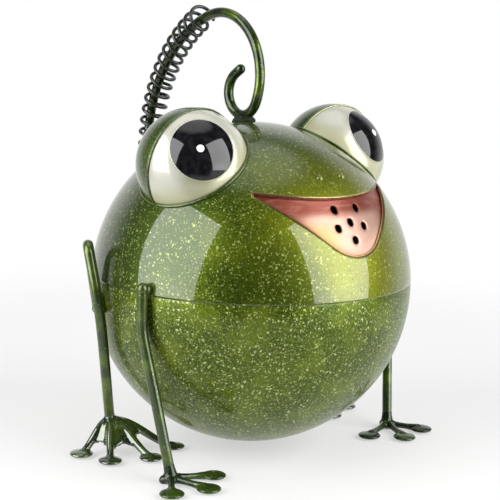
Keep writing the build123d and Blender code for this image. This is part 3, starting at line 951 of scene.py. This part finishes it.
def build_front_leg(name, side):
    points = flip(FRONT_LEG, side)
    points[0].z -= ROD_R
    leg_rod("front", name, route(points, [LEG_BEND]))
    top = points[0]
    out = Vector((top.x, top.y, 0)).normalized()
    leg_weld("front", name, [
        ball_part(top - Vector((0, 0, 0.6 * MM)), 3.3 * MM),
        ball_part(top - out * 2.6 * MM - Vector((0, 0, 0.9 * MM)), 3.3 * MM, (1, 1.15, 1)),
        ball_part(top - out * 2.8 * MM - Vector((0, 0, 4.6 * MM)), 2.5 * MM),
        ball_part(top - Vector((0, 0, 4.0 * MM)), 3.1 * MM)])


def build_front_foot(name, side):
    path = route(flip(FRONT_LEG, side), [LEG_BEND])
    ankle = path[-1]
    hub = Vector((ankle.x, ankle.y, FLOOR_Z + 3.0 * MM))
    swell = [3.1, 3.2, 3.4, 3.7, 4.1]
    parts = [ball_part(hub, 5.0 * MM, (1, 1, 0.66), (0, 0, 1)),
             tube(path[-len(swell):] + [hub], [r * MM for r in swell + [4.5]], 20)]
    for x, y in FRONT_TOES:
        tip = Vector((side * x * MM, y * MM, 0))
        end = Vector((tip.x, tip.y, FLOOR_Z + 1.9 * MM))
        line = [hub.lerp(end, s / 12) for s in range(12)]
        thin = [(3.3 - 1.45 * math.sin(math.pi / 2 * min(1, i / 5)) + 0.2 * max(0, i - 7)) * MM
                for i in range(12)]
        parts.append(tube(line, thin, 16))
        parts.append(pad_part(tip))
    heel = Vector((side * FRONT_HEEL[0] * MM, FRONT_HEEL[1] * MM, FLOOR_Z + 1.4 * MM))
    heel = hub.lerp(heel, 0.68)
    spur = [hub.lerp(heel, s / 5) for s in range(6)]
    parts.append(tube(spur, [(3.1 - 0.1 * i) * MM for i in range(6)], 16))
    foot_cast("front", name, parts, FOOT)


def build_rear_leg(name, side):
    points = flip(REAR_LEG, side)
    leg_rod("rear", name, route(points, [HAIRPIN_BEND, HAIRPIN_BEND, LEG_BEND], 1.2 * MM))
    end = points[0]
    out = end.normalized()
    rise = (points[1] - points[0]).normalized()
    lumps = [ball_part(end - out * 2.2 * MM + rise * s * MM, 3.3 * MM, (1.1, 1.1, 0.8), out)
             for s in (0.0, 2.6, 5.2)]
    leg_weld("rear", name, lumps + [ball_part(end, 3.4 * MM)])


def web_part(ankle, ends, reach):
    """Thin closed skin stretched between two toes, arched, with its front edge curved in."""
    across, down, thick = 12, 14, 0.9 * MM
    grid = []
    for i in range(down + 1):
        for j in range(across + 1):
            share = j / across
            flat = ends[0].lerp(ends[1], share)
            far = reach[0] + (reach[1] - reach[0]) * share
            far *= 1 - 0.22 * math.sin(math.pi * share)
            along = far * i / down
            p = ankle.lerp(flat, along)
            p.z = ankle.z + (flat.z - ankle.z) * toe_drop(along)
            depth = i / down
            swell = 2.6 * math.sin(math.pi * share) * math.sin(math.pi * depth ** 0.7)
            curl = 1.0 * max(0.0, depth - 0.7) / 0.3 * math.sin(math.pi * share)
            p.z += (swell - curl) * MM
            grid.append(p)
    count = len(grid)
    verts = [p + Vector((0, 0, thick)) for p in grid] + [p - Vector((0, 0, thick)) for p in grid]
    faces, width = [], across + 1
    for i in range(down):
        for j in range(across):
            a = i * width + j
            quad = [a, a + 1, a + width + 1, a + width]
            faces.append(quad)
            faces.append([count + q for q in reversed(quad)])
    rim = ([j for j in range(across)] + [i * width + across for i in range(down)]
           + [down * width + j for j in range(across, 0, -1)] + [i * width for i in range(down, 0, -1)])
    for a, b in zip(rim, rim[1:] + rim[:1]):
        faces.append([b, a, count + a, count + b])
    return verts, faces


def toe_drop(share):
    """A toe leaves the ankle level, drops, and runs out low to its pad."""
    share = share ** 1.2
    return share * share * (3 - 2 * share)


def build_rear_foot(name, side):
    ankle = flip([REAR_LEG[-1]], side)[0]
    above = flip([REAR_LEG[-2]], side)[0]
    lean = (above - ankle).normalized()
    shin = [ankle + lean * s * MM for s in (7, 5, 3, 1, 0)]
    parts = [ball_part(ankle, 4.0 * MM), tube(shin, [r * MM for r in (3.05, 3.15, 3.3, 3.7, 4.0)], 20)]
    reached = []
    for (x, y), share in zip(REAR_TOES, WEB_REACH):
        tip = Vector((side * x * MM, y * MM, 0))
        end = Vector((tip.x, tip.y, FLOOR_Z + 2.3 * MM))
        line = []
        for i in range(13):
            s = i / 12
            p = ankle.lerp(end, s)
            p.z = ankle.z + (end.z - ankle.z) * toe_drop(s)
            line.append(p)
        parts.append(tube(line, [(3.4 - 1.4 * (i / 12) ** 0.6) * MM for i in range(13)], 16))
        parts.append(pad_part(tip))
        reached.append((end, share))
    for (one, near), (other, far) in zip(reached, reached[1:]):
        parts.append(web_part(ankle, (one, other), (near, far)))
    foot_cast("rear", name, parts, WEB)


# --- room ---
CAMERA_TURN, CAMERA_RISE, CAMERA_ROLL = -40.83, 11.17, 1.67
CAMERA_FAR = 780 * MM
LENS = 93.9
AIM_UP, AIM_RIGHT = 0.02375, -0.0008


def build_camera():
    turn, roll = math.radians(CAMERA_TURN), math.radians(CAMERA_ROLL)
    back = direction(CAMERA_TURN, CAMERA_RISE)
    right = Vector((math.cos(turn), math.sin(turn), 0))
    up = back.cross(right)
    right, up = right * math.cos(roll) + up * math.sin(roll), up * math.cos(roll) - right * math.sin(roll)
    place_at = CENTRE + back * CAMERA_FAR
    back = (back - up * AIM_UP - right * AIM_RIGHT).normalized()
    right = up.cross(back).normalized()
    up = back.cross(right)
    data = bpy.data.cameras.new("camera")
    data.lens, data.sensor_width = LENS, 36
    data.clip_start, data.clip_end = 0.05, 50
    camera = add("camera", data)
    camera.matrix_world = Matrix.Translation(place_at) @ Matrix((right, up, back)).transposed().to_4x4()
    bpy.context.scene.camera = camera


FLOOR_FADE, FLOOR_EDGE = 0.28, 0.62
FLOOR_TONE, FLOOR_GLOW = (0.34, 0.34, 0.34), 0.52
SOFTBOX_TURNS, SOFTBOX_LIFT, SOFTBOX_FAR = {"left": -101, "right": 24}, 21.5, 1.3
SOFTBOX_SIZE, SOFTBOX_POWER = (1.16, 1.41), 30
# soft pools of light: turn, lift, cosines of the full and outer reach, level
POOLS = [(-101, -18, 0.98, 0.88, 1.2), (24, -18, 0.98, 0.88, 1.2), (150, 78, 0.97, 0.84, 1.3)]


def softbox(name, turn):
    """Rectangular light that faces the can, seen from it in a direction."""
    data = bpy.data.lights.new(name, "AREA")
    data.shape, data.energy = "RECTANGLE", SOFTBOX_POWER
    data.size, data.size_y = SOFTBOX_SIZE
    light = add(name, data)
    outward = direction(turn, SOFTBOX_LIFT)
    light.location = CENTRE + outward * SOFTBOX_FAR
    light.rotation_mode = "QUATERNION"
    light.rotation_quaternion = outward.to_track_quat("Z", "Y")


def build_floor():
    """Pale disc that fades out into the white background."""
    paint = bpy.data.materials.new("floor_paper")
    paint.use_nodes = True
    tree = paint.node_tree
    shader = tree.nodes["Principled BSDF"].inputs
    paper = tree.nodes.new("ShaderNodeTexNoise")
    paper.inputs["Scale"].default_value = 3
    grey = mix(tree, paper.outputs["Fac"], FLOOR_TONE, tuple(c * 1.03 for c in FLOOR_TONE))
    tree.links.new(grey, shader["Base Color"])
    far = vector(tree, "LENGTH", tree.nodes.new("ShaderNodeTexCoord").outputs["Object"], out="Value")
    tree.links.new(invert(tree, ramp(tree, far, FLOOR_FADE, FLOOR_EDGE)), shader["Alpha"])
    shader["Roughness"].default_value = 0.9
    shader["Specular IOR Level"].default_value = 0.1
    shader["Emission Color"].default_value = (1, 1, 1, 1)
    shader["Emission Strength"].default_value = FLOOR_GLOW
    mesh = bpy.data.meshes.new("floor")
    ring = [(FLOOR_EDGE * math.cos(a), FLOOR_EDGE * math.sin(a), 0)
            for a in np.linspace(0, 2 * math.pi, 96, endpoint=False)]
    mesh.from_pydata(ring, [], [list(range(len(ring)))])
    mesh.materials.append(paint)
    floor = add("floor", mesh)
    floor.location.z = GROUND - 0.2 * MM


def build_world():
    """Dark in front of the can, white behind it and overhead at the back; white to the camera."""
    world = bpy.data.worlds.new("studio")
    world.use_nodes = True
    bpy.context.scene.world = world
    tree = world.node_tree
    tree.nodes.clear()
    out = tree.nodes.new("ShaderNodeOutputWorld")
    background = tree.nodes.new("ShaderNodeBackground")
    sky = tree.nodes.new("ShaderNodeTexCoord").outputs["Generated"]
    facing = vector(tree, "DOT_PRODUCT", sky, direction(CAMERA_TURN, 20), "Value")
    height = split_xyz(tree, sky)[2]
    sweep = mix(tree, ramp(tree, height, 0.50, 0.90), (0.92, 0.92, 0.92), (0.30, 0.30, 0.31))
    shade = mix(tree, ramp(tree, facing, -0.70, -0.10), sweep, (0.03, 0.032, 0.034))
    for turn, lift, narrow, wide, level in POOLS:
        toward = vector(tree, "DOT_PRODUCT", sky, direction(turn, lift), "Value")
        shade = mix(tree, ramp(tree, toward, wide, narrow), shade, (level, level, level))
    seen = tree.nodes.new("ShaderNodeLightPath").outputs["Is Camera Ray"]
    shade = mix(tree, seen, shade, (1.0, 1.0, 1.0))
    tree.links.new(shade, background.inputs["Color"])
    background.inputs["Strength"].default_value = 1.0
    tree.links.new(background.outputs[0], out.inputs[0])


def build_room():
    build_floor()
    build_world()
    for name, turn in SOFTBOX_TURNS.items():
        softbox(f"softbox_{name}", turn)
    view = bpy.context.scene.view_settings
    view.view_transform, view.look = "Standard", "None"


build_ball()
rose_plate()
mouth_rim()
build_filler()
build_nostrils()
build_handle()
build_grip()
for side_name, side_sign in SIDES.items():
    build_eye(side_name, side_sign)
    build_front_leg(side_name, side_sign)
    build_front_foot(side_name, side_sign)
    build_rear_leg(side_name, side_sign)
    build_rear_foot(side_name, side_sign)
build_room()
build_camera()
